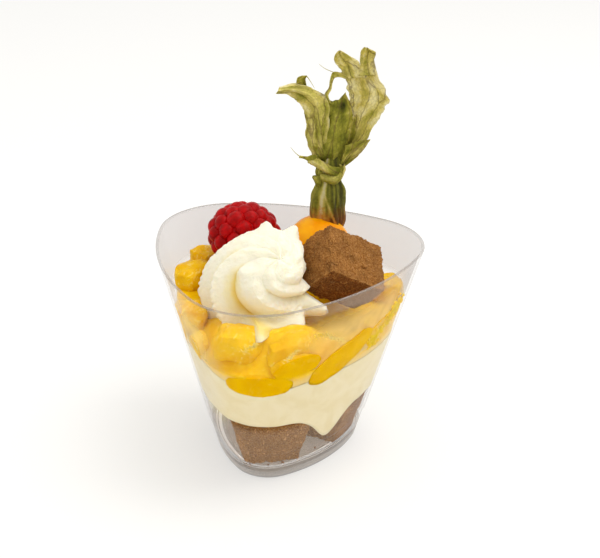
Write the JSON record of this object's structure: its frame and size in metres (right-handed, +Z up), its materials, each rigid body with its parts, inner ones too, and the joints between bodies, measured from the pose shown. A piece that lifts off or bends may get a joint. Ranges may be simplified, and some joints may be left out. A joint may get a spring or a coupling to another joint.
{
  "type": "layered dessert in a glass",
  "caption": "Three-cornered clear tumbler filled with chocolate cake, custard cream and mango in sauce, topped with piped cream, a raspberry, a physalis in its husk and a cake cube",
  "frame": {"origin": "centre of the glass rim's box, on the plane the foot stands on", "axes": "+Z up along the glass, the front corner of the rounded triangle towards -Y, +X to the right as seen from the front"},
  "size_m": [0.0792, 0.0772, 0.1165],
  "materials": {
    "clear_tumbler": "clear, slightly hazy",
    "chocolate_sponge": "matt, fine crumb",
    "custard_cream": "smooth, softly shining",
    "mango_sauce": "wet and glossy",
    "mango_flesh": "wet and glossy",
    "whipped_cream": "soft, finely rough",
    "raspberry_skin": "shiny drupelets with fine hairs",
    "physalis_skin": "smooth waxy skin",
    "dried_husk": "thin, dry and veined"
  },
  "bodies": {
    "root": {"glass": "clear_tumbler", "cake_floor_front": "chocolate_sponge", "cake_floor_right": "chocolate_sponge", "cake_floor_left": "chocolate_sponge", "custard_cream": "custard_cream", "mango_sauce": "mango_sauce", "mango_piece_01": "mango_flesh", "mango_piece_02": "mango_flesh", "mango_piece_03": "mango_flesh", "mango_piece_04": "mango_flesh", "mango_piece_05": "mango_flesh", "mango_piece_06": "mango_flesh", "mango_piece_07": "mango_flesh", "mango_piece_08": "mango_flesh", "mango_piece_09": "mango_flesh", "mango_piece_10": "mango_flesh", "mango_piece_11": "mango_flesh", "mango_piece_12": "mango_flesh", "mango_piece_13": "mango_flesh", "mango_piece_14": "mango_flesh", "cake_top": "chocolate_sponge", "raspberry": "raspberry_skin", "physalis_berry": "physalis_skin", "whipped_cream": "whipped_cream", "physalis_husk": "dried_husk"}
  },
  "joints": []
}
